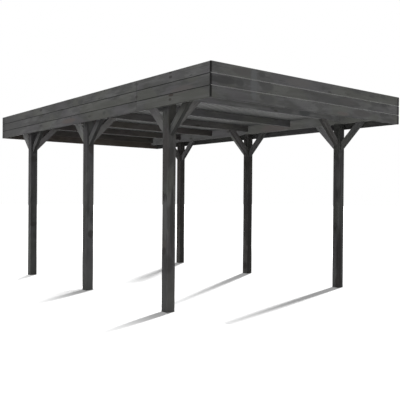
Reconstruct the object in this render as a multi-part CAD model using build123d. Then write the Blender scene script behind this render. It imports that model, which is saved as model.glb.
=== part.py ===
from build123d import *

import os

# Open timber carport with a flat roof, in millimetres.
# The origin is on the ground, under the middle of the roof. +Z is up, X runs across the
# parking bay and the entrance faces -Y. Left is -X, as seen on driving in.

# Posts
post_size = 100.0
post_height = 2175.0
post_arris = 3.0
bay_width = 2686.0
bay_length = 1655.0
bay_count = 2

# Roof edge beyond the outer faces of the posts
side_overhang = 74.0
front_overhang = 767.0
rear_overhang = 883.0

# Beams
purlin_width = 50.0
purlin_height = 128.0
rafter_width = 45.0
rafter_height = 88.0
beam_arris = 3.0

# Knee braces, which reach as far along the beam as down the post
brace_run = 350.0
brace_depth = 80.0
brace_thickness = 45.0
brace_arris = 3.0
brace_angle = 45.0

# Fascia of three boards, with a V groove at each joint
board_count = 3
board_height = 112.0
fascia_thickness = 20.0
fascia_drop = 65.0
groove_width = 8.0
groove_depth = 5.0
splice_from_front = 1238.0
splice_gap = 2.0

# Spacer blocks between the purlins and the side fascias
spacer_length = 60.0
spacer_height = 90.0

# Trapezoidal roof sheets, lapped over one rib
sheet_count = 3
ribs_per_sheet = 13
sheet_thickness = 3.0
rib_height = 18.0
rib_crown = 24.0
rib_flank = 11.0
sheet_edge_gap = 6.0
sheet_end_gap = 10.0

# Places worked out from the sizes above
FRONT, REAR = -1, 1
LEFT, RIGHT = -1, 1
station_pitch = bay_length + post_size
roof_width = bay_width + 2 * (post_size + side_overhang)
roof_length = (
    front_overhang + rear_overhang + bay_count * station_pitch + post_size
)
row_x = (bay_width + post_size) / 2
front_y = -roof_length / 2
first_station = front_y + front_overhang + post_size / 2
stations = [first_station + i * station_pitch for i in range(bay_count + 1)]
beam_top = post_height + purlin_height
rafter_bottom = beam_top - rafter_height
fascia_bottom = post_height - fascia_drop
inner_length = roof_length - 2 * fascia_thickness
inner_width = roof_width - 2 * fascia_thickness
splice_y = splice_from_front - inner_length / 2
purlin_inner_x = row_x - purlin_width / 2
purlin_outer_x = row_x + purlin_width / 2

SIDES = {"left": LEFT, "right": RIGHT}
ROWS = dict(zip(("front", "middle", "rear"), stations))


def timber(size_x, size_y, size_z, arris):
    """A straight planed timber on the origin, with its four long edges eased."""
    sizes = {Axis.X: size_x, Axis.Y: size_y, Axis.Z: size_z}
    long_axis = max(sizes, key=sizes.get)
    block = Box(size_x, size_y, size_z)
    return chamfer(block.edges().filter_by(long_axis), arris)


def build_post(x, y):
    post = timber(post_size, post_size, post_height, post_arris)
    return Pos(x, y, post_height / 2) * post


def build_purlin(x):
    purlin = timber(purlin_width, inner_length, purlin_height, beam_arris)
    return Pos(x, 0, post_height + purlin_height / 2) * purlin


def build_rafter(y):
    rafter = timber(2 * purlin_inner_x, rafter_width, rafter_height, beam_arris)
    return Pos(0, y, beam_top - rafter_height / 2) * rafter


def rafter_places():
    """One rafter behind each end fascia, one over each post pair, one midway between."""
    end_y = inner_length / 2 - rafter_width / 2
    midway = [(a + b) / 2 for a, b in zip(stations, stations[1:])]
    return sorted([-end_y, end_y] + stations + midway)


def build_brace(x, y, turn, head_z):
    """A brace that rises from the post face to the beam, cut square to both of them.

    turn is the way it leans, in degrees from +X, about the post's centre.
    """
    corner = Pos((post_size + brace_run) / 2, 0, head_z - brace_run / 2)
    bar = timber(2 * brace_run, brace_thickness, brace_depth, brace_arris)
    slanting = corner * Rot(0, -brace_angle, 0) * Pos(0, 0, brace_depth / 2) * bar
    between = corner * Box(brace_run, 2 * brace_thickness, brace_run)
    return Pos(x, y, 0) * Rot(0, 0, turn) * (slanting & between)


def fascia_section():
    """The upright section of a fascia: outer face at zero, body on the positive side."""
    height = board_count * board_height
    points = [(0, 0)]
    for joint in range(1, board_count):
        z = joint * board_height
        points += [
            (0, z - groove_width / 2),
            (groove_depth, z),
            (0, z + groove_width / 2),
        ]
    points += [(0, height), (fascia_thickness, height), (fascia_thickness, 0)]
    return make_face(Polyline(*points, close=True))


def build_fascia(length, x, y, turn):
    """A length of fascia with the middle of its outer face at x, y.

    turn is the way its outer face looks, in degrees from -X.
    """
    section = Plane.XZ * fascia_section()
    boards = extrude(section, length / 2, both=True)
    return Pos(x, y, fascia_bottom) * Rot(0, 0, turn) * boards


def build_side_fascia(side):
    """A side fascia between the end ones, in two lengths that meet at the splice."""
    turn = 0 if side == LEFT else 180
    ends = [
        (-inner_length / 2, splice_y - splice_gap / 2),
        (splice_y + splice_gap / 2, inner_length / 2),
    ]
    return Compound([
        build_fascia(end - start, side * roof_width / 2, (start + end) / 2, turn)
        for start, end in ends
    ])


def build_spacers(side):
    """Blocks that carry a side fascia: at both ends, at the posts and behind the splice."""
    width = roof_width / 2 - fascia_thickness - purlin_outer_x
    end_y = inner_length / 2 - spacer_length / 2
    block = Box(width, spacer_length, spacer_height)
    x = side * (purlin_outer_x + width / 2)
    z = post_height + spacer_height / 2
    return [Pos(x, y, z) * block for y in [-end_y, *stations, splice_y, end_y]]


def rib_line(start, lift_start, lift_end):
    """The underside of one rib, from its left foot to its right foot."""
    return [
        (start, lift_start),
        (start + rib_flank, rib_height + lift_start),
        (start + rib_flank + rib_crown, rib_height + lift_end),
        (start + 2 * rib_flank + rib_crown, lift_end),
    ]


def build_sheet(index):
    """One roof sheet, whose first rib lies over the last rib of the sheet before it."""
    cover = (inner_width - 2 * sheet_edge_gap) / sheet_count
    rib_pitch = (cover * sheet_count - 2 * rib_flank - rib_crown) / (
        sheet_count * ribs_per_sheet
    )
    left = -inner_width / 2 + sheet_edge_gap + index * ribs_per_sheet * rib_pitch
    lapped = index > 0
    first_lift = sheet_thickness if lapped else 0
    run_out = sheet_thickness * rib_flank / rib_height

    under = rib_line(left, first_lift, first_lift)
    if lapped:
        foot_x = under[-1][0]
        under[-1] = (foot_x + run_out, 0)
    for rib in range(1, ribs_per_sheet + 1):
        under += rib_line(left + rib * rib_pitch, 0, 0)
    over = [(x, z + sheet_thickness) for x, z in reversed(under)]
    section = Plane.XZ * make_face(Polyline(*under, *over, close=True))
    sheet = extrude(section, inner_length / 2 - sheet_end_gap, both=True)
    return Pos(0, 0, beam_top) * sheet


def build_all():
    nodes = {}
    for side_name, side in SIDES.items():
        x = side * row_x
        inward = 180 if side == RIGHT else 0
        for row_name, y in ROWS.items():
            place = f"{row_name}_{side_name}"
            nodes[f"post_{place}"] = build_post(x, y)
            nodes[f"brace_{place}_forward"] = build_brace(x, y, -90, post_height)
            nodes[f"brace_{place}_backward"] = build_brace(x, y, 90, post_height)
            nodes[f"brace_{place}_inward"] = build_brace(x, y, inward, rafter_bottom)
        nodes[f"purlin_{side_name}"] = build_purlin(x)
        nodes[f"fascia_{side_name}"] = build_side_fascia(side)
        nodes[f"fascia_spacers_{side_name}"] = Compound(build_spacers(side))
    nodes["fascia_front"] = build_fascia(roof_width, 0, -roof_length / 2, 90)
    nodes["fascia_rear"] = build_fascia(roof_width, 0, roof_length / 2, -90)
    for number, y in enumerate(rafter_places(), start=1):
        nodes[f"rafter_{number}"] = build_rafter(y)
    for index, name in enumerate(("left", "middle", "right")[:sheet_count]):
        nodes[f"roof_sheet_{name}"] = build_sheet(index)
    return nodes


os.makedirs("parts", exist_ok=True)
for node_name, shape in build_all().items():
    export_step(shape, f"parts/{node_name}.step")
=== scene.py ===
import math
import random
from fnmatch import fnmatch

import bpy
import bmesh
from mathutils import Matrix, Vector


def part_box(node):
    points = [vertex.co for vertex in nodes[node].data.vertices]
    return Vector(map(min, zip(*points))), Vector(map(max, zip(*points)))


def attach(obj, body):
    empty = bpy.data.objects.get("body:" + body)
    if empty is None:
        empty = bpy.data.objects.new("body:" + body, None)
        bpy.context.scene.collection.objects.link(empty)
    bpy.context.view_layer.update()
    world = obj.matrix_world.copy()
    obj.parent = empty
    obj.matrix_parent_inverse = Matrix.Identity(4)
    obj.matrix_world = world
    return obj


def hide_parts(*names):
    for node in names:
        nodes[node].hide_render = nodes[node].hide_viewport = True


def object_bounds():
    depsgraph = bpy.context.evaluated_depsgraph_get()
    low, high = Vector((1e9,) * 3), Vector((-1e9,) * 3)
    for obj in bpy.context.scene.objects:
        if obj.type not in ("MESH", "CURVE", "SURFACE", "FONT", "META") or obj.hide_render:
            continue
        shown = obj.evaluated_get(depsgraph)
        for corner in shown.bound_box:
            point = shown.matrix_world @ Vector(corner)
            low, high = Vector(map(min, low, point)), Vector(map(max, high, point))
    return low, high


# The looks of an open timber carport: stained boards, knots, grain, screws and roof sheets.
# All lengths are in metres, in the frame's own axes: the entrance faces -Y and left is -X.

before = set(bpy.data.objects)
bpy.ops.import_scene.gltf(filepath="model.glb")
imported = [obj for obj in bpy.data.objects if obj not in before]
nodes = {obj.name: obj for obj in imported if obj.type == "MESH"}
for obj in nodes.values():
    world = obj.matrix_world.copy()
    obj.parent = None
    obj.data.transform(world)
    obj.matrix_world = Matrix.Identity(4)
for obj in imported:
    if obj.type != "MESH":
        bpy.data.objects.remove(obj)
cad_low, cad_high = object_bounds()
X, Y, Z = Vector((1, 0, 0)), Vector((0, 1, 0)), Vector((0, 0, 1))
SEED = 7
WHITE = (1.0, 1.0, 1.0, 1.0)


# Node helpers

# Sockets of a colour mix: factor, first and second colour, and the outcome
MIX_INPUTS = (0, 6, 7)
MIX_OUTPUT = 2


def new_material(name):
    material = bpy.data.materials.new(name)
    material.use_nodes = True
    material.node_tree.nodes.clear()
    return material


class Graph:
    """Short calls for adding and linking shader nodes."""

    def __init__(self, tree):
        self.tree = tree

    def add(self, kind, inputs=None, **settings):
        node = self.tree.nodes.new(kind)
        for key, value in settings.items():
            setattr(node, key, value)
        for key, value in (inputs or {}).items():
            self.feed(node.inputs[key], value)
        return node

    def feed(self, socket, value):
        if isinstance(value, bpy.types.NodeSocket):
            self.tree.links.new(value, socket)
        else:
            socket.default_value = value

    def math(self, operation, first, second=0.0):
        node = self.add("ShaderNodeMath", operation=operation)
        for socket, value in zip(node.inputs, (first, second)):
            self.feed(socket, value)
        return node.outputs[0]

    def ramp(self, value, low, high, out_low=0.0, out_high=1.0):
        """Moves a value from one range to another, smoothly, and holds it there."""
        node = self.add("ShaderNodeMapRange", interpolation_type="SMOOTHSTEP")
        for socket, item in zip(node.inputs, (value, low, high, out_low, out_high)):
            self.feed(socket, item)
        return node.outputs[0]

    def noise(self, vector, scale, detail, roughness=0.55, distortion=0.0):
        """Noise with a scale of its own along each axis."""
        place = self.add("ShaderNodeMapping", {"Vector": vector, "Scale": scale})
        node = self.add(
            "ShaderNodeTexNoise",
            {"Vector": place.outputs["Vector"], "Scale": 1.0, "Detail": detail,
             "Roughness": roughness, "Distortion": distortion},
        )
        return node.outputs["Fac"]

    def mix(self, factor, first, second, blend="MIX"):
        inputs = dict(zip(MIX_INPUTS, (factor, first, second)))
        node = self.add("ShaderNodeMix", data_type="RGBA", blend_type=blend)
        for index, value in inputs.items():
            self.feed(node.inputs[index], value)
        return node.outputs[MIX_OUTPUT]

    def lay(self, colour, field, share, shade):
        """Lays a share of a shade over a colour, wherever the field is."""
        return self.mix(self.math("MULTIPLY", field, share), colour, shade)

    def seen(self):
        """One for the rays that show a thing, and zero for those that only light others."""
        rays = self.add("ShaderNodeLightPath").outputs
        direct = self.math("MAXIMUM", rays["Is Camera Ray"], rays["Is Glossy Ray"])
        return self.math("MAXIMUM", direct, rays["Is Transmission Ray"])

    def finish(self, shader, kind="ShaderNodeOutputMaterial"):
        output = self.add(kind)
        self.feed(output.inputs["Surface"], shader.outputs[0])


def grey(level, warmth=0.0, green=0.0):
    """A colour from an sRGB level of 0 to 255, with a little warmth or green."""
    def linear(value):
        value = max(value, 0) / 255
        return value / 12.92 if value <= 0.04045 else ((value + 0.055) / 1.055) ** 2.4
    return (linear(level + warmth), linear(level + green), linear(level - warmth), 1.0)


# Stained timber

# Fields of noise in the wood: scale along the fibres and across them, detail, roughness
# and distortion
FIELDS = {
    "waver": (0.9, 7.0, 2.0, 0.55, 0.0),
    "fibre": (9.0, 420.0, 3.0, 0.60, 0.0),
    "streak": (1.1, 38.0, 4.0, 0.60, 0.0),
    "patch": (2.2, 6.0, 3.0, 0.50, 0.0),
    "blotch": (4.5, 15.0, 2.0, 0.50, 0.0),
    "tint": (1.6, 3.0, 1.0, 0.40, 0.0),
    "crack_field": (1.0, 46.0, 2.0, 0.40, 0.2),
}

# Knots, one to a cell: the cells' scale, and distances from the middle of a knot, from
# where a part of it starts to where it is full
KNOT_SCALE = (2.6, 7.5, 7.5)
KNOT_EDGE = (0.12, 0.06)
KNOT_HALO = (0.28, 0.07)
KNOT_HEART = (0.03, 0.07)

# Growth rings, which bend round the knots, and the levels of their two kinds of wood
RING_SCALE = (0.16, 1.0, 1.0)
RING_WAVE = {"Scale": 26.0, "Distortion": 5.0, "Detail": 2.0, "Detail Scale": 0.6}
RING_BEND = 12.6
RING_EDGE = (0.15, 0.9)
EARLY_WOOD = 6
LATE_WOOD = -5

# Fine cracks, along the middle of their field and only where the patches are
CRACK_EDGE = (0.006, 0.001)
CRACK_PATCHES = (0.52, 0.62)

# How the stain took, one layer over another: field, where it starts and where it is full,
# share, change of level, warmth and green
STAIN_LAYERS = [
    ("streak", 0.35, 0.70, 0.50, -14, 0.5, 0.5),
    ("fibre", 0.45, 0.80, 0.35, 14, 0.5, 0.5),
    ("patch", 0.50, 0.62, 0.80, 11, 0.0, 0.5),
    ("blotch", 0.53, 0.60, 0.50, -11, 0.5, 0.5),
    ("blotch", 0.47, 0.41, 0.40, 10, 0.0, 0.5),
    ("waver", 0.50, 0.64, 0.60, -14, 0.5, 0.5),
    ("tint", 0.54, 0.60, 0.50, 2, 2.0, 3.0),
    ("tint", 0.46, 0.40, 0.50, 2, -0.5, -2.0),
]
FIGURED = ("streak", "patch", "blotch", "waver")

# Knots and cracks over the stain: field, share, change of level, warmth and green
FLAW_LAYERS = [
    ("knot_halo", 0.35, -20, 2, 1),
    ("knot", 0.80, -36, 3, 1),
    ("knot_ring", 0.35, -48, 2, 0),
    ("crack", 0.75, -50, 1, 0),
]

# The lighter foot of a post: heights where it starts and is full, how much that wavers
FOOT_HEIGHTS = (0.75, 0.25)
FOOT_WAVER = 0.25
FOOT_SHARE = 0.6

# The edge of a single mark, in half sizes from its middle, and how ragged it is
MARK_EDGE = (1.35, 0.85)
MARK_RAGGED = 0.5
MARK_SHARE = 0.85

# Relief of the surface: each field's share, and the depth of the whole
RELIEF = {"rings": 0.25, "fibre": 0.35, "crack": -2.2, "knot_ring": -0.5}
RELIEF_STRENGTH = 0.5
RELIEF_DEPTH = 0.0007
ROUGHNESS = (0.62, 0.8)
ROUGHNESS_EDGE = (0.2, 0.8)
TIMBER_SPECULAR = 0.12


def wood_fields(g, place):
    """The patterns of the wood by name, from 0 where one isn't to 1 where it is full."""
    fields = {}
    for name, (along, across, detail, roughness, distortion) in FIELDS.items():
        scale = (along, across, across)
        fields[name] = g.noise(place, scale, detail, roughness, distortion)

    cells = g.add("ShaderNodeMapping", {"Vector": place, "Scale": KNOT_SCALE})
    knots = g.add(
        "ShaderNodeTexVoronoi",
        {"Vector": cells.outputs["Vector"], "Scale": 1.0, "Randomness": 1.0},
    ).outputs["Distance"]
    fields["knot"] = g.ramp(knots, *KNOT_EDGE)
    fields["knot_halo"] = g.ramp(knots, *KNOT_HALO)
    fields["knot_ring"] = g.math("MULTIPLY", fields["knot"], g.ramp(knots, *KNOT_HEART))

    trunk = g.add("ShaderNodeMapping", {"Vector": place, "Scale": RING_SCALE})
    bend = g.math("MULTIPLY", fields["knot_halo"], RING_BEND)
    rings = g.add(
        "ShaderNodeTexWave",
        {"Vector": trunk.outputs["Vector"], **RING_WAVE, "Phase Offset": bend},
        wave_type="RINGS", rings_direction="X",
    )
    fields["rings"] = rings.outputs["Fac"]

    from_middle = g.math("ABSOLUTE", g.math("SUBTRACT", fields["crack_field"], 0.5))
    patches = g.ramp(fields["patch"], *CRACK_PATCHES)
    fields["crack"] = g.math("MULTIPLY", g.ramp(from_middle, *CRACK_EDGE), patches)
    return fields


def lay_foot(g, colour, here, waver, shade):
    """Makes the lowest part of a post lighter."""
    height = g.add("ShaderNodeSeparateXYZ", {"Vector": here}).outputs["Z"]
    wavering = g.math("ADD", height, g.math("MULTIPLY", waver, FOOT_WAVER))
    return g.lay(colour, g.ramp(wavering, *FOOT_HEIGHTS), FOOT_SHARE, shade)


def lay_mark(g, colour, here, streak, middle, half_size, shade):
    """Lays one knot, stain or line of painted shade on a colour, as an ellipsoid with a
    ragged edge.
    """
    away = g.add("ShaderNodeVectorMath", {0: here, 1: middle}, operation="SUBTRACT")
    scale = tuple(1 / size for size in half_size)
    away = g.add("ShaderNodeVectorMath", {0: away.outputs[0], 1: scale}, operation="MULTIPLY")
    reach = g.add("ShaderNodeVectorMath", {0: away.outputs[0]}, operation="LENGTH")
    ragged = g.math("ADD", reach.outputs["Value"], g.math("MULTIPLY", streak, MARK_RAGGED))
    return g.lay(colour, g.ramp(ragged, *MARK_EDGE), MARK_SHARE, shade)


def timber_material(name, level, knot_share=1.0, marks=(), foot_lift=0.0, figure=1.0):
    """Planed softwood under a slate-grey stain.

    It reads two attributes: grain, a place in the timber's own axes with X along the
    fibres, and tone, a factor for the colour of each side of that timber, which holds its
    stain and its painted light and shade.
    Marks are single knots and stains, and painted shade down the front corners of the
    fascia: middle, half size, change of level and warmth.
    """
    material = new_material(name)
    g = Graph(material.node_tree)
    place = g.add("ShaderNodeAttribute", attribute_name="grain").outputs["Vector"]
    tone = g.add("ShaderNodeAttribute", attribute_name="tone").outputs["Vector"]
    here = g.add("ShaderNodeTexCoord").outputs["Object"]
    fields = wood_fields(g, place)

    late = g.ramp(fields["rings"], *RING_EDGE)
    colour = g.mix(late, grey(level + EARLY_WOOD), grey(level + LATE_WOOD))
    for field, start, full, share, change, warmth, green in STAIN_LAYERS:
        change *= figure if field in FIGURED else 1
        shade = grey(level + change, warmth, green)
        colour = g.lay(colour, g.ramp(fields[field], start, full), share, shade)
    for field, share, change, warmth, green in FLAW_LAYERS:
        share *= knot_share if field.startswith("knot") else 1
        colour = g.lay(colour, fields[field], share, grey(level + change, warmth, green))
    if foot_lift:
        shade = grey(level + foot_lift, 0, 1)
        colour = lay_foot(g, colour, here, fields["waver"], shade)
    for middle, half_size, change, warmth in marks:
        shade = grey(level + change, warmth, -warmth / 2)
        colour = lay_mark(g, colour, here, fields["streak"], middle, half_size, shade)
    # The colour times each side's tone, which carries the painted light and shade
    toned_with_painted_light = g.add("ShaderNodeVectorMath", {0: colour, 1: tone}, operation="MULTIPLY")

    relief = 0.0
    for field, share in RELIEF.items():
        relief = g.math("ADD", relief, g.math("MULTIPLY", fields[field], share))
    bump = g.add(
        "ShaderNodeBump",
        {"Strength": RELIEF_STRENGTH, "Distance": RELIEF_DEPTH, "Height": relief},
    )
    surface = g.add(
        "ShaderNodeBsdfPrincipled",
        {"Base Color": toned_with_painted_light.outputs[0], "Normal": bump.outputs[0],
         "Roughness": g.ramp(fields["fibre"], *ROUGHNESS_EDGE, *ROUGHNESS),
         "Specular IOR Level": TIMBER_SPECULAR},
    )
    g.finish(surface)
    return material


# A face counts as facing one way when more than this share of its normal points there
FACING = 0.5


def side_of(normal):
    """The side of a timber that a face is on. Sloping faces count as over or under."""
    if abs(normal.z) > FACING:
        return "over" if normal.z > 0 else "under"
    if min(abs(normal.x), abs(normal.y)) > FACING:
        return "arris"
    axis = 0 if abs(normal.x) > abs(normal.y) else 1
    return ("-" if normal[axis] < 0 else "+") + "XY"[axis]


def side_stain_and_painted_light(name, side):
    """How light and warm one side of a timber is, as a factor for its colour, from its stain
    and its painted light and shade.
    """
    factor = Vector((1, 1, 1))
    for pattern, where, level, warmth in STAINS_AND_PAINTED_LIGHT:
        if fnmatch(name, pattern) and fnmatch(side, where):
            factor *= level
            factor *= Vector((1 + warmth, 1 - warmth / 4, 1 - warmth))
    return factor


def mark_timber(mesh, name, along, across, middle, offset, tone):
    """Writes where each corner lies in the timber's own axes, and each face's tone with its
    painted light and shade.
    """
    up = along.cross(across)
    places = []
    for vertex in mesh.vertices:
        local = vertex.co - middle
        places += [
            local.dot(along) + offset.x,
            local.dot(across) + offset.y,
            local.dot(up) + offset.z,
        ]
    # Each face's tone holds the stain and the painted light and shade of its side
    tones_with_painted_light = []
    for face in mesh.polygons:
        tones_with_painted_light += list(side_stain_and_painted_light(name, side_of(face.normal)) * tone)
    mesh.attributes.new("grain", "FLOAT_VECTOR", "POINT").data.foreach_set("vector", places)
    mesh.attributes.new("tone", "FLOAT_VECTOR", "FACE").data.foreach_set("vector", tones_with_painted_light)


# How far off in the noise a timber may lie, and how near and far its tree's heart is
GRAIN_REACH = 40.0
HEART_NEAR = 0.06
HEART_FAR = 0.16


def random_offset(source):
    """A far place in the noise, with the heart of the tree beside the timber."""
    angle = source.uniform(0, 2 * math.pi)
    reach = source.uniform(HEART_NEAR, HEART_FAR)
    along = source.uniform(-GRAIN_REACH, GRAIN_REACH)
    return Vector((along, reach * math.cos(angle), reach * math.sin(angle)))


# Sides of timbers that are lighter, darker or warmer, partly by their stain and partly as
# painted light and shade. Where a timber is plainly lighter, darker or warmer in the picture,
# which may be stain or shade: timbers, side, factor for the level, and warmth. There is a
# painted highlight on the post arrises. Painted shade lies on the undersides of braces, on
# the sides of the right-hand posts that face the entrance, on the rear fascia and on the
# rafters towards the rear. Painted light lies on faces near the open front and left.
STAINS_AND_PAINTED_LIGHT = [
    ("post_*", "arris", 1.45, 0.0),
    ("post_front_left", "-Y", 1.05, 0.02),
    ("post_middle_left", "-Y", 1.36, 0.0),
    ("post_rear_left", "-X", 1.22, 0.0),
    ("post_front_right", "-X", 1.20, 0.0),
    ("post_front_right", "-Y", 0.62, 0.0),
    ("post_middle_right", "-X", 1.20, 0.04),
    ("post_middle_right", "-Y", 0.45, 0.05),
    ("post_rear_right", "-X", 1.15, 0.06),
    ("post_rear_right", "-Y", 0.48, 0.06),
    ("brace_*_forward", "under", 0.40, 0.0),
    ("brace_*_left_inward", "-Y", 1.25, 0.02),
    ("brace_middle_left_forward", "-X", 1.35, 0.0),
    ("brace_rear_left_forward", "-X", 1.20, 0.0),
    ("brace_*_right_inward", "-Y", 1.30, 0.03),
    ("brace_*_right_inward", "under", 0.52, 0.03),
    ("brace_middle_left_backward", "*", 1.20, 0.0),
    ("brace_front_left_backward", "*", 0.90, 0.01),
    ("rafter_3", "*", 1.12, 0.0),
    ("rafter_4", "*", 0.95, 0.03),
    ("rafter_[567]", "*", 0.85, 0.07),
    ("fascia_left", "-X", 1.18, 0.0),
    ("fascia_right", "-X", 1.25, 0.0),
    ("fascia_rear", "-Y", 0.98, 0.13),
    ("fascia_rear", "under", 0.80, 0.05),
]


def dress_timber(name, material, along, across, source, spread):
    piece = nodes[name]
    low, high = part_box(name)
    tone = 1 + source.uniform(-spread, spread)
    middle = (Vector(low) + Vector(high)) / 2
    mark_timber(piece.data, name, along, across, middle, random_offset(source), tone)
    piece.data.materials.clear()
    piece.data.materials.append(material)


# Single knots and stains, and painted shade down the front corners of the fascia: middle,
# half size, change of level and warmth
POST_MARKS = [
    ((-1.443, -1.814, 1.18), (0.06, 0.040, 0.055), -26, 1),
    ((-1.443, -1.820, 0.95), (0.03, 0.035, 0.260), 15, 0),
    ((-1.443, -1.800, 0.70), (0.03, 0.060, 0.050), 3, 2),
    ((-1.443, -1.800, 0.63), (0.06, 0.040, 0.050), -22, 1),
    ((-1.430, -1.850, 0.50), (0.07, 0.050, 0.110), -13, 0),
    ((-1.386, -1.863, 0.95), (0.03, 0.030, 0.380), -20, 0),
    ((-1.443, -1.850, 1.62), (0.03, 0.040, 0.090), -14, 1),
    ((-1.400, 1.647, 1.739), (0.06, 0.030, 0.050), -13, 1),
    ((-1.400, 1.647, 0.765), (0.06, 0.030, 0.040), -12, 1),
    ((-1.377, -0.108, 0.711), (0.05, 0.030, 0.060), -17, 1),
    ((-1.375, -0.108, 1.80), (0.05, 0.030, 0.090), -15, 2),
    ((-1.375, -0.108, 1.18), (0.03, 0.030, 0.200), 7, 1),
    ((-1.443, -1.813, 1.62), (0.02, 0.070, 0.350), -8, 2),
    ((1.365, -1.863, 0.42), (0.045, 0.060, 0.440), -34, 1),
    ((1.350, -1.863, 0.08), (0.08, 0.060, 0.120), -22, 2),
    ((1.400, -1.863, 1.25), (0.02, 0.030, 0.300), 9, 0),
    ((1.425, -1.863, 0.55), (0.015, 0.03, 0.350), 12, 0),
    ((1.343, -1.840, 1.45), (0.03, 0.040, 0.180), 9, 0),
    ((1.370, -0.108, 0.72), (0.06, 0.060, 0.620), -14, 1),
    ((1.343, -0.080, 0.40), (0.03, 0.060, 0.050), 8, 1),
    ((1.343, -0.060, 0.12), (0.05, 0.060, 0.060), -20, 1),
    ((1.343, 1.680, 0.95), (0.05, 0.060, 0.420), -10, 1),
    ((1.343, 1.680, 0.22), (0.06, 0.080, 0.090), 12, 0),
    ((1.343, 1.680, 1.60), (0.05, 0.060, 0.350), 9, 1),
]
FASCIA_MARKS = [
    ((-1.380, -2.63, 2.283), (0.20, 0.02, 0.045), -22, 0),
    ((-1.120, -2.63, 2.395), (0.16, 0.02, 0.045), -5, 1),
    ((-0.973, -2.63, 2.300), (0.05, 0.02, 0.200), 8, -1),
    ((-0.790, -2.63, 2.300), (0.10, 0.02, 0.060), -9, 0),
    ((-0.780, -2.63, 2.170), (0.11, 0.02, 0.050), -8, 0),
    ((-0.330, -2.63, 2.390), (0.22, 0.02, 0.045), 5, 1),
    ((0.170, -2.63, 2.262), (0.18, 0.02, 0.045), -9, 0),
    ((0.480, -2.63, 2.280), (0.16, 0.02, 0.045), -6, 1),
    ((0.760, -2.63, 2.170), (0.20, 0.02, 0.045), -7, 1),
    ((-1.158, -2.63, 2.282), (0.06, 0.02, 0.040), -16, 0),
    ((-0.865, -2.63, 2.398), (0.05, 0.02, 0.030), -13, 0),
    ((-0.864, -2.63, 2.310), (0.05, 0.02, 0.030), -11, 0),
    ((-0.863, -2.63, 2.182), (0.04, 0.02, 0.030), -11, 0),
    ((0.062, -2.63, 2.384), (0.03, 0.02, 0.030), -10, 0),
    ((0.063, -2.63, 2.276), (0.03, 0.02, 0.025), -11, 0),
    ((1.176, -2.63, 2.412), (0.06, 0.02, 0.026), -14, 0),
    ((0.953, -2.63, 2.398), (0.06, 0.02, 0.024), -11, 0),
    ((1.198, -2.63, 2.318), (0.07, 0.02, 0.030), -16, 0),
    ((1.159, -2.63, 2.194), (0.05, 0.02, 0.028), -12, 0),
    ((0.411, -2.63, 2.140), (0.12, 0.02, 0.022), 6, 3),
    ((-1.517, -1.997, 2.438), (0.02, 0.03, 0.018), -30, 2),
    ((-1.517, -1.998, 2.388), (0.02, 0.03, 0.016), -30, 2),
    ((-1.517, -2.008, 2.208), (0.02, 0.05, 0.016), -32, 5),
    ((-1.517, -1.992, 2.165), (0.02, 0.03, 0.016), -26, 3),
    ((-1.517, 1.127, 2.404), (0.02, 0.05, 0.020), -22, 1),
    ((-1.517, 1.124, 2.178), (0.02, 0.06, 0.020), -22, 1),
    ((-1.517, 0.453, 2.330), (0.02, 0.05, 0.016), -20, 0),
    ((-1.517, -0.075, 2.372), (0.02, 0.08, 0.040), -12, 0),
    ((-1.517, -0.668, 2.171), (0.02, 0.04, 0.022), -16, 0),
    ((-1.517, -1.372, 2.270), (0.02, 0.03, 0.018), -26, 1),
    ((-1.517, -1.372, 2.410), (0.02, 0.05, 0.022), -12, 0),
    ((-1.517, 0.260, 2.167), (0.02, 0.22, 0.035), 2, 4),
    ((-1.517, -2.190, 2.240), (0.02, 0.20, 0.040), 1, 2),
    ((-1.517, 2.350, 2.280), (0.02, 0.60, 0.250), -7, 0),
    ((-1.517, 2.63, 2.278), (0.02, 0.14, 0.600), -20, 0),
    # Painted shade: dark lines down the front corners of the fascia
    ((-1.517, -2.63, 2.278), (0.014, 0.02, 0.600), -60, 0),
    ((1.517, -2.63, 2.278), (0.045, 0.02, 0.600), -48, 0),
]
BEAM_MARKS = [
    ((0.100, -1.836, 2.260), (0.04, 0.02, 0.020), -18, 0),
    ((0.330, -1.836, 2.255), (0.14, 0.02, 0.060), -11, 0),
    ((0.680, -1.836, 2.255), (0.12, 0.02, 0.060), -17, -1),
    ((1.368, -0.680, 2.230), (0.02, 0.35, 0.080), 2, 3),
]
POST = timber_material("post_stain", 69, marks=POST_MARKS, foot_lift=12.0, figure=1.7)
BEAM = timber_material("beam_stain", 80, knot_share=0.7, marks=BEAM_MARKS)
BRACE = timber_material("brace_stain", 82, knot_share=0.8)
FASCIA = timber_material(
    "fascia_stain", 80, knot_share=0.45, marks=FASCIA_MARKS, figure=1.25
)
# Painted light on the fascia bevels: a painted highlight along the joints of the front and
# rear boards, and painted shade along the joints of the side boards and on the lowest edge
HIGHLIGHT_BEVEL = timber_material("bevel_painted_highlight", 150, knot_share=0.0)
SHADE_BEVEL = timber_material("bevel_painted_shade", 50, knot_share=0.0)
END_GRAIN = timber_material("end_grain_stain", 14, knot_share=0.0)


# The straight timbers: name, material, ways along and across the fibres, spread of tone
TIMBERS = [
    ("post_*", POST, Z, X, 0.05),
    ("purlin_*", BEAM, Y, Z, 0.06),
    ("fascia_spacers_*", BEAM, Y, Z, 0.06),
    ("rafter_*", BEAM, X, Z, 0.06),
]
BRACE_SPREAD = 0.07


def brace_lean(name):
    """The way that a brace leans as it rises."""
    if name.endswith("_inward"):
        return X if "_left_" in name else -X
    return Y if name.endswith("_backward") else -Y


def dress_frame():
    source = random.Random(SEED)
    for name in sorted(nodes):
        for pattern, material, along, across, spread in TIMBERS:
            if fnmatch(name, pattern):
                dress_timber(name, material, along, across, source, spread)
        if name.startswith("brace_"):
            slope = (brace_lean(name) + Z).normalized()
            across = Y if name.endswith("_inward") else X
            dress_timber(name, BRACE, slope, across, source, BRACE_SPREAD)


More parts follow.
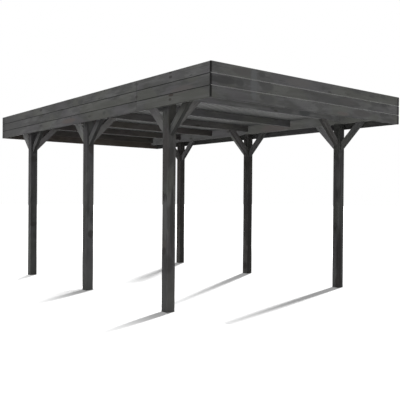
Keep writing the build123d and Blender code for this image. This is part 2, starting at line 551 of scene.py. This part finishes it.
# Fascia boards, three to a side, with a bevel along each joint

BOARD_COUNT = 3
BOARD_THICKNESS = 0.020
BEVEL_HEIGHT = 0.004
BEVEL_DEPTH = 0.005
BOARD_GAP = 0.0012
SPLICE_FROM_FRONT = 1.258
SPLICE_GAP = 0.002
FASCIA_SPREAD = 0.05

# A board's materials by number: faces, bevels, sawn ends and the lowest edge of the fascia
ON_FACE, ON_BEVEL, ON_END, ON_LOWEST = range(4)


def board_outline(height):
    """The upright section of a board, as pairs of depth behind the face and height."""
    half_gap = BOARD_GAP / 2
    return [
        (0, BEVEL_HEIGHT),
        (BEVEL_DEPTH, half_gap),
        (BOARD_THICKNESS, half_gap),
        (BOARD_THICKNESS, height - half_gap),
        (BEVEL_DEPTH, height - half_gap),
        (0, height - BEVEL_HEIGHT),
    ]


def build_board(name, start, end, row, height, inward, source):
    """A board between two points on its outer face, with bevels along both edges."""
    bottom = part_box(name)[0][2] + row * height
    along = (end - start).normalized()
    outline = board_outline(height)
    mesh = bpy.data.meshes.new("board")
    corners = []
    for end_point in (start, end):
        for depth, rise in outline:
            corners.append(end_point + inward * depth + Z * (bottom + rise))
    count = len(outline)
    faces = [[i, (i + 1) % count, count + (i + 1) % count, count + i] for i in range(count)]
    faces += [list(range(count))[::-1], list(range(count, 2 * count))]
    mesh.from_pydata(corners, [], faces)
    # The lowest bevel of the fascia takes the painted shade
    lower_bevel = ON_BEVEL if row else ON_LOWEST
    kinds = [lower_bevel, ON_FACE, ON_FACE, ON_FACE, ON_BEVEL, ON_FACE, ON_END, ON_END]
    mesh.polygons.foreach_set("material_index", kinds)
    middle = (start + end + inward * BOARD_THICKNESS) / 2 + Z * (bottom + height / 2)
    first_face = mesh.polygons[0]
    if first_face.normal.dot(first_face.center - middle) < 0:
        mesh.flip_normals()
    tone = 1 + source.uniform(-FASCIA_SPREAD, FASCIA_SPREAD)
    mark_timber(mesh, name, along, Z, middle, random_offset(source), tone)
    return mesh


def join_meshes(name, meshes, materials):
    """One mesh object from many, with its attributes and face materials kept."""
    whole = bmesh.new()
    for mesh in meshes:
        whole.from_mesh(mesh)
        bpy.data.meshes.remove(mesh)
    bmesh.ops.recalc_face_normals(whole, faces=whole.faces)
    joined = bpy.data.meshes.new(name)
    whole.to_mesh(joined)
    whole.free()
    for material in materials:
        joined.materials.append(material)
    piece = bpy.data.objects.new(name, joined)
    bpy.context.scene.collection.objects.link(piece)
    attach(piece, "root")
    return piece


def build_fascia(name, start, end, inward, splices, bevel, source):
    """Three boards, one over another, cut where the fascia has a splice."""
    low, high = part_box(name)
    height = (high[2] - low[2]) / BOARD_COUNT
    along = (end - start).normalized()
    stops = [0.0] + splices + [(end - start).length]
    boards = []
    for index, (first, last) in enumerate(zip(stops, stops[1:])):
        first += SPLICE_GAP / 2 if index else 0
        last -= SPLICE_GAP / 2 if index < len(splices) else 0
        for row in range(BOARD_COUNT):
            boards.append(
                build_board(name, start + along * first, start + along * last,
                            row, height, inward, source)
            )
    piece = join_meshes(name + "_boards", boards, [FASCIA, bevel, END_GRAIN, SHADE_BEVEL])
    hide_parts(name)


def build_fascias():
    source = random.Random(SEED + 1)
    left, right = cad_low[0], cad_high[0]
    front, rear = cad_low[1], cad_high[1]
    near, far = front + BOARD_THICKNESS, rear - BOARD_THICKNESS
    splice = SPLICE_FROM_FRONT - BOARD_THICKNESS
    # Front and rear boards get the painted highlight on their bevels, side boards the painted
    # shade
    build_fascia("fascia_front", Vector((left, front, 0)), Vector((right, front, 0)),
                 Y, [], HIGHLIGHT_BEVEL, source)
    build_fascia("fascia_rear", Vector((left, rear, 0)), Vector((right, rear, 0)),
                 -Y, [], HIGHLIGHT_BEVEL, source)
    build_fascia("fascia_left", Vector((left, near, 0)), Vector((left, far, 0)),
                 X, [splice], SHADE_BEVEL, source)
    build_fascia("fascia_right", Vector((right, near, 0)), Vector((right, far, 0)),
                 -X, [splice], SHADE_BEVEL, source)


# Roof sheets

# Dirt on the sheets: its scale across, along and up, its detail, where it starts and is
# full, and the colours without it and with it
DIRT_SCALE = (3.0, 0.6, 3.0)
DIRT_DETAIL = 4.0
DIRT_EDGE = (0.35, 0.75)
CLEAN_SHEET = grey(92, 0, 1)
DIRTY_SHEET = grey(80, 1, 1)
SHEET_ROUGHNESS = 0.55

# Painted highlight: the rib crowns are paler; heights over the sheet's foot where that starts
# and is full
CROWN_HEIGHTS = (0.012, 0.017)
CROWN_SHARE = 0.8
CROWN_HIGHLIGHT = grey(160, 0, 1)

# Painted shade: the sheets are darker on the right: where that starts and is full, and by how
# much
RIGHT_SHADE_EDGE = (-0.35, 0.15)
RIGHT_SHADE_FACTOR = 0.80


def sheet_material():
    material = new_material("roof_sheet_grey")
    g = Graph(material.node_tree)
    place = g.add("ShaderNodeTexCoord").outputs["Object"]
    dirt = g.noise(place, DIRT_SCALE, DIRT_DETAIL)
    colour = g.mix(g.ramp(dirt, *DIRT_EDGE), CLEAN_SHEET, DIRTY_SHEET)
    parts = g.add("ShaderNodeSeparateXYZ", {"Vector": place}).outputs
    sheet_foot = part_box("roof_sheet_left")[0][2]
    # A painted highlight on the rib crowns
    crown = g.ramp(parts["Z"], *(sheet_foot + height for height in CROWN_HEIGHTS))
    colour = g.lay(colour, crown, CROWN_SHARE, CROWN_HIGHLIGHT)
    # Painted shade over the right of the sheets
    shaded_right = g.ramp(parts["X"], *RIGHT_SHADE_EDGE, 1.0, RIGHT_SHADE_FACTOR)
    colour = g.mix(1.0, colour, shaded_right, "MULTIPLY")
    surface = g.add(
        "ShaderNodeBsdfPrincipled", {"Base Color": colour, "Roughness": SHEET_ROUGHNESS}
    )
    g.finish(surface)
    return material


def dress_sheets():
    material = sheet_material()
    for name in nodes:
        if name.startswith("roof_sheet_"):
            nodes[name].data.materials.clear()
            nodes[name].data.materials.append(material)


# Screws and roof fixings, each turned from pairs of radius and rise

SCREW_PROFILE = [(0.0048, -0.0004), (0.0048, 0.0001), (0.0038, 0.0009), (0.0020, 0.0009),
                 (0.0016, 0.0003)]
FIXING_PROFILE = [(0.0090, -0.0004), (0.0090, 0.0010), (0.0084, 0.0018), (0.0050, 0.0022),
                  (0.0050, 0.0060), (0.0040, 0.0070)]
TURNED_SIDES = 12

# Board screws: a pair to a board, one above and one below its middle by SCREW_SPREAD
SCREW_SPREAD = 0.030
SPLICE_SCREW_INSET = 0.015
SPACER_LENGTH = 0.060
FRONT_SCREW_SHARES = (-0.955, -0.59, 0.0, 0.59, 0.955)

# Brace screws, and the roof sheets' ribs under the fixings
BRACE_DEPTH = 0.080
BRACE_SCREW_INSET = 0.032
SHEET_COUNT = 3
RIBS_PER_SHEET = 13
RIB_COUNT = SHEET_COUNT * RIBS_PER_SHEET + 1
RIB_FOOT = 0.046
SHEET_THICKNESS = 0.003
RIBS_PER_FIXING = 4


def turned_piece(place, facing, profile):
    """A small head turned from its profile, standing on place."""
    mesh = bpy.data.meshes.new("head")
    facing = Vector(facing)
    first = facing.orthogonal().normalized()
    second = facing.cross(first)
    corners = []
    for radius, rise in profile:
        for side in range(TURNED_SIDES):
            angle = 2 * math.pi * side / TURNED_SIDES
            spoke = first * math.cos(angle) + second * math.sin(angle)
            corners.append(Vector(place) + facing * rise + spoke * radius)
    faces = [list(range(TURNED_SIDES))[::-1]]
    for ring in range(len(profile) - 1):
        base = ring * TURNED_SIDES
        for side in range(TURNED_SIDES):
            following = (side + 1) % TURNED_SIDES
            faces.append([base + side, base + following,
                          base + TURNED_SIDES + following, base + TURNED_SIDES + side])
    top = (len(profile) - 1) * TURNED_SIDES
    faces.append(list(range(top, top + TURNED_SIDES)))
    mesh.from_pydata(corners, [], faces)
    return mesh


# How a head's colour and roughness vary from one to the next
DULL_SCALE = (7.0, 7.0, 7.0)
DULL_DETAIL = 2.0
DULL_EDGE = (0.3, 0.7)
DULL_LEVEL = 12
DULL_ROUGHNESS = 0.15


def metal_material(name, level, metallic, roughness):
    material = new_material(name)
    g = Graph(material.node_tree)
    place = g.add("ShaderNodeTexCoord").outputs["Object"]
    dull = g.noise(place, DULL_SCALE, DULL_DETAIL)
    colour = g.mix(dull, grey(level - DULL_LEVEL, 2, 0), grey(level + DULL_LEVEL))
    rough = g.ramp(dull, *DULL_EDGE, roughness, roughness + DULL_ROUGHNESS)
    surface = g.add("ShaderNodeBsdfPrincipled",
                    {"Base Color": colour, "Roughness": rough, "Metallic": metallic})
    g.finish(surface)
    return material


def board_screw_places():
    """A pair of screws in each fascia board, wherever something stands behind it."""
    low, high = cad_low, cad_high
    box_low, box_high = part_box("fascia_left")
    height = (box_high[2] - box_low[2]) / BOARD_COUNT
    rows = [box_low[2] + (row + 0.5) * height for row in range(BOARD_COUNT)]
    levels = [z + step for z in rows for step in (-SCREW_SPREAD, SCREW_SPREAD)]
    splice = low[1] + SPLICE_FROM_FRONT
    ends = high[1] - BOARD_THICKNESS - SPACER_LENGTH / 2
    boxes = [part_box(f"post_{row}_left") for row in ("front", "middle", "rear")]
    posts = [(lowest[1] + highest[1]) / 2 for lowest, highest in boxes]
    stations = [-ends, *posts, splice - SPLICE_SCREW_INSET, splice + SPLICE_SCREW_INSET, ends]
    places = []
    for z in levels:
        for y in stations:
            places.append(((low[0], y, z), -X))
            places.append(((high[0], y, z), X))
        for share in FRONT_SCREW_SHARES:
            places.append(((share * high[0], low[1], z), -Y))
            places.append(((share * high[0], high[1], z), Y))
    return places


def brace_screw_places():
    """Slanted screws in both cheeks of each brace, near its ends."""
    places = []
    for name in sorted(nodes):
        if not name.startswith("brace_"):
            continue
        low, high = (Vector(corner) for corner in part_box(name))
        run = high.z - low.z - BRACE_DEPTH / math.sqrt(2)
        lean = 0 if name.endswith("_inward") else 1
        cheek = 1 - lean
        rises_to_high = brace_lean(name)[lean] > 0
        for step in (BRACE_SCREW_INSET, run - BRACE_SCREW_INSET):
            place = Vector()
            place[lean] = low[lean] + step if rises_to_high else high[lean] - step
            place.z = high.z - run + step
            for corner, facing in ((low, -1), (high, 1)):
                place[cheek] = corner[cheek]
                normal = Vector()
                normal[cheek] = facing
                places.append((place.copy(), normal))
    return places


def roof_fixing_places():
    """Fixings on the rib crowns, over every rafter."""
    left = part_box("roof_sheet_left")[0][0] + RIB_FOOT / 2
    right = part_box("roof_sheet_right")[1][0] - RIB_FOOT / 2
    pitch = (right - left) / (RIB_COUNT - 1)
    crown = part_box("roof_sheet_left")[1][2]
    half = range(1, RIB_COUNT // 2, RIBS_PER_FIXING)
    ribs = [*half, *(RIB_COUNT - 1 - rib for rib in half)]
    places = []
    for name in sorted(nodes):
        if name.startswith("rafter_"):
            low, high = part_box(name)
            for rib in ribs:
                lapped = rib % RIBS_PER_SHEET == 0
                top = crown + (SHEET_THICKNESS if lapped else 0)
                places.append(((left + rib * pitch, (low[1] + high[1]) / 2, top), Z))
    return places


def build_fasteners():
    zinc = metal_material("screw_zinc_dark", 70, metallic=0.6, roughness=0.45)
    grey_cap = metal_material("fixing_cap_grey", 95, metallic=0.0, roughness=0.5)
    kinds = {
        "fascia_screws": (board_screw_places(), SCREW_PROFILE, zinc, "fascia_timber"),
        "brace_screws": (brace_screw_places(), SCREW_PROFILE, zinc, "brace_timber"),
        "roof_fixings": (roof_fixing_places(), FIXING_PROFILE, grey_cap, "roof_sheet"),
    }
    for name, (places, profile, material, slot) in kinds.items():
        heads = [turned_piece(place, facing, profile) for place, facing in places]
        join_meshes(name, heads, [material])


# Camera, found from the roof corners and the post feet in the 400 by 400 picture

CAMERA_PLACE = (-4.926, -6.726, 1.201)
CAMERA_HEADING = 38.78
CAMERA_PITCH = -0.37
CAMERA_ROLL = 0.45
FOCAL_PIXELS = 582.6
PICTURE_PIXELS = 400
SENSOR_WIDTH = 36.0


def build_camera():
    data = bpy.data.cameras.new("camera")
    data.sensor_width = SENSOR_WIDTH
    data.lens = SENSOR_WIDTH * FOCAL_PIXELS / PICTURE_PIXELS
    camera = bpy.data.objects.new("camera", data)
    turn = Matrix.Rotation(math.radians(-CAMERA_HEADING), 4, "Z")
    tip = Matrix.Rotation(math.radians(90 + CAMERA_PITCH), 4, "X")
    roll = Matrix.Rotation(math.radians(CAMERA_ROLL), 4, "Z")
    camera.matrix_world = Matrix.Translation(CAMERA_PLACE) @ turn @ tip @ roll
    bpy.context.scene.collection.objects.link(camera)
    bpy.context.scene.camera = camera


# Floor, lamps and sky

# How white the floor is, its own glow near a post and where the shadow is gone, and what
# it throws back on the object, from the front of the roof to its middle, less under the
# roof as painted shade of the roof on the floor
FLOOR_REACH = 60.0
FLOOR_WEIGHT = 0.15
FLOOR_GLOW = 0.23
FADE_GLOW = 1.0
FRONT_BOUNCE = 0.12
REAR_BOUNCE = 0.042

# The floor is laid in six flush parts, one to a post, each with a sun of its own, because
# the shadows in the picture don't all lean the same way. For each post: the way its shadow
# points, in degrees from +X, how soft it is, and where it starts to fade and is gone
SHADOW_ELEVATION = 25.0
SHADOW_STRENGTH = 40.0
SHADOWS = {
    "front_left": (-156.9, 5.0, 0.1, 1.45),
    "middle_left": (-149.0, 5.0, 0.1, 1.35),
    "rear_left": (-132.4, 14.0, -0.8, 1.3),
    "front_right": (-163.4, 3.0, 0.9, 5.0),
    "middle_right": (-149.8, 3.6, -0.2, 5.4),
    "rear_right": (-141.7, 7.0, 1.7, 4.2),
}
FRONT_EDGE = -1.70
REAR_EDGE = 0.06
SIDE_EDGE = -1.30
ROW_EDGES = {
    "front": (-FLOOR_REACH, FRONT_EDGE),
    "middle": (FRONT_EDGE, REAR_EDGE),
    "rear": (REAR_EDGE, FLOOR_REACH),
}
SIDE_EDGES = {"left": (-FLOOR_REACH, SIDE_EDGE), "right": (SIDE_EDGE, FLOOR_REACH)}


def floor_material(name, foot, fade_start, fade_end):
    """White to the camera, and plainer to the light that it throws back on the object."""
    material = new_material(name)
    g = Graph(material.node_tree)
    seen = g.seen()
    place = g.add("ShaderNodeTexCoord").outputs["Object"]
    along = g.add("ShaderNodeSeparateXYZ", {"Vector": place}).outputs["Y"]
    # Less light thrown back under the roof: painted shade of the roof, which the suns pass
    # through
    bounce = g.ramp(along, cad_low[1], 0.0, FRONT_BOUNCE, REAR_BOUNCE)
    weight = g.mix(seen, bounce, (FLOOR_WEIGHT, FLOOR_WEIGHT, FLOOR_WEIGHT, 1.0))
    matt = g.add("ShaderNodeBsdfDiffuse", {"Color": weight})
    away = g.add("ShaderNodeVectorMath", {0: place, 1: foot}, operation="DISTANCE")
    fade = g.ramp(away.outputs["Value"], fade_start, fade_end, FLOOR_GLOW, FADE_GLOW)
    glow = g.add(
        "ShaderNodeEmission", {"Color": WHITE, "Strength": g.math("MULTIPLY", seen, fade)}
    )
    both = g.add("ShaderNodeAddShader", {0: matt.outputs[0], 1: glow.outputs[0]})
    g.finish(both)
    return material


def build_floor(place, fade_start, fade_end):
    """The part of the floor that takes one post's shadow."""
    row, side = place.split("_")
    (front, rear), (left, right) = ROW_EDGES[row], SIDE_EDGES[side]
    mesh = bpy.data.meshes.new("floor_" + place)
    corners = [(left, front, 0), (right, front, 0), (right, rear, 0), (left, rear, 0)]
    mesh.from_pydata(corners, [], [(0, 1, 2, 3)])
    low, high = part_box("post_" + place)
    foot = ((low[0] + high[0]) / 2, (low[1] + high[1]) / 2, 0)
    mesh.materials.append(floor_material("floor_white_" + place, foot, fade_start, fade_end))
    floor = bpy.data.objects.new("floor_" + place, mesh)
    bpy.context.scene.collection.objects.link(floor)
    return floor


# The sky's light all round, and what it adds straight overhead and on the left
SKY_LEVEL = 0.55
SKY_TOP = 0.75
SKY_LEFT = 0.25


def build_world():
    """An overcast sky, brightest overhead and a little brighter on the left."""
    world = bpy.data.worlds.new("studio")
    world.use_nodes = True
    world.node_tree.nodes.clear()
    bpy.context.scene.world = world
    g = Graph(world.node_tree)
    seen = g.seen()
    way = g.add("ShaderNodeTexCoord").outputs["Generated"]
    parts = g.add("ShaderNodeSeparateXYZ", {"Vector": way}).outputs
    overhead = g.math("MAXIMUM", parts["Z"], 0.0)
    leftward = g.math("MAXIMUM", g.math("MULTIPLY", parts["X"], -1.0), 0.0)
    top = g.math("MULTIPLY", overhead, SKY_TOP)
    left = g.math("MULTIPLY", leftward, SKY_LEFT)
    light = g.math("ADD", g.math("ADD", top, left), SKY_LEVEL)
    unseen = g.math("SUBTRACT", 1.0, seen)
    strength = g.math("MAXIMUM", g.math("MULTIPLY", light, unseen), seen)
    background = g.add("ShaderNodeBackground", {"Color": WHITE, "Strength": strength})
    g.finish(background, "ShaderNodeOutputWorld")


def collect(name, objects):
    group = bpy.data.collections.new(name)
    for item in objects:
        group.objects.link(item)
    return group


def build_sun(name, way, strength, softness, receivers, blockers):
    """A soft sun that shines along way, on its receivers alone."""
    light = bpy.data.lights.new(name, "SUN")
    light.energy = strength
    light.angle = math.radians(softness)
    sun = bpy.data.objects.new(name, light)
    sun.rotation_mode = "QUATERNION"
    sun.rotation_quaternion = Vector(way).to_track_quat("-Z", "Y")
    bpy.context.scene.collection.objects.link(sun)
    sun.light_linking.receiver_collection = collect(name + "_lit", receivers)
    sun.light_linking.blocker_collection = collect(name + "_blockers", blockers)


# Reflectors that lift single timbers under the roof: timbers, way and strength. They are
# all FILL_SOFTNESS degrees wide
FILL_SOFTNESS = 40.0
FILLS = [
    ("brace_*_backward", (0.5, 0.8, -0.3), 4.0),
    ("brace_*_right_forward", (1.0, -0.2, 0.1), 0.8),
    ("brace_rear_right_forward", (1.0, -0.2, 0.1), 1.2),
    ("brace_*_left_inward", (-0.5, 1.0, 0.5), 1.1),
    ("rafter_2", (0.8, 0.5, 0.2), 2.3),
    ("purlin_right", (0.8, 0.5, 0.2), 2.3),
]


def build_lamps():
    names = sorted(nodes)
    uprights = [nodes[name] for name in names if name.startswith(("post_", "brace_"))]
    fall = math.radians(SHADOW_ELEVATION)
    level = math.cos(fall)
    for place, (heading, softness, fade_start, fade_end) in SHADOWS.items():
        turn = math.radians(heading)
        way = (level * math.cos(turn), level * math.sin(turn), -math.sin(fall))
        floor = build_floor(place, fade_start, fade_end)
        build_sun("sun_" + place, way, SHADOW_STRENGTH, softness, [floor], uprights)
    for index, (pattern, way, strength) in enumerate(FILLS, start=1):
        lit = [nodes[name] for name in names if fnmatch(name, pattern)]
        build_sun(f"fill_{index}", way, strength, FILL_SOFTNESS, lit, lit)


dress_frame()
build_fascias()
dress_sheets()
build_fasteners()
build_camera()
build_world()
build_lamps()
bpy.context.scene.view_settings.view_transform = "Standard"
